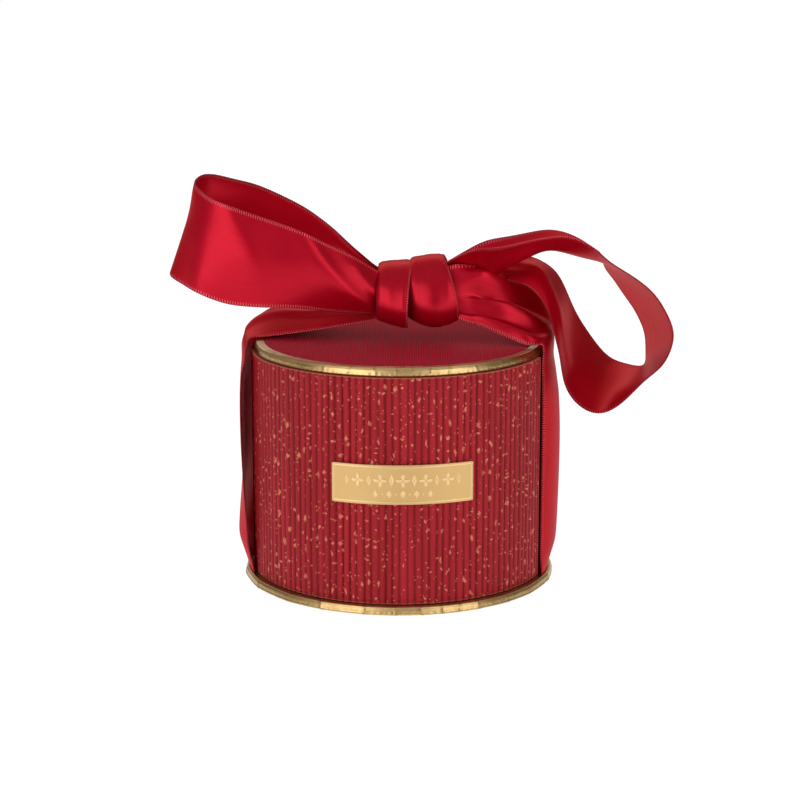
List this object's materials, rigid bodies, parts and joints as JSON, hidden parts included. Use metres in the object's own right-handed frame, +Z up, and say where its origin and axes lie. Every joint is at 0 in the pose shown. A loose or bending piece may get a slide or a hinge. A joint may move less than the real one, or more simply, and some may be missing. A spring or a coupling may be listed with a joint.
{
  "type": "round gift box",
  "caption": "Round paperboard gift box with a ribbed red wall, gold-edged base and lift-off lid, a bare gold plate on the front and a wide satin ribbon tied in a bow on top.",
  "frame": {"origin": "centre of the underside of the base, on the surface that the box stands on", "axes": "+Z up along the box's axis, -Y the front with the gold plate, X along the ribbon, which runs over the lid from the left side (-X) to the right side (+X)"},
  "size_m": [0.184, 0.1166, 0.1484],
  "materials": {
    "greyboard": "matte grey paperboard",
    "gold_foil": "glossy pleated gold foil paper",
    "red_paper": "matte deep red paper with fine embossed lines",
    "ribbed_paper": "satin red ribbed paper with pinkish gold flecks",
    "lining_paper": "matte cream lining paper",
    "label_gold": "satin gold plate with a raised border",
    "red_satin": "glossy woven satin"
  },
  "bodies": {
    "box": {"base_bottom_paper": "red_paper", "base_board": "greyboard", "base_rim_foil": "gold_foil", "base_top_paper": "red_paper", "body_tube": "red_paper", "tube_lining": "lining_paper", "floor_board": "lining_paper", "wall_sheet": "ribbed_paper", "label_plate": "label_gold"},
    "lid": {"lid_board": "greyboard", "lid_rim_foil": "gold_foil", "lid_top_paper": "red_paper", "lid_plug": "greyboard", "lid_plug_lining": "lining_paper"},
    "ribbon": {"ribbon_left_leg": "red_satin", "ribbon_right_leg": "red_satin", "ribbon_left_loop": "red_satin", "ribbon_right_loop": "red_satin", "knot_left_turn": "red_satin", "knot_right_turn": "red_satin"}
  },
  "joints": [
    {"name": "lid_lift", "type": "slide", "parent": "box", "child": "lid", "axis": [0, 0, 1], "range_m": [0, 0.1]},
    {"name": "ribbon_lift", "type": "slide", "parent": "lid", "child": "ribbon", "axis": [0, 0, 1], "range_m": [0, 0.12]}
  ]
}
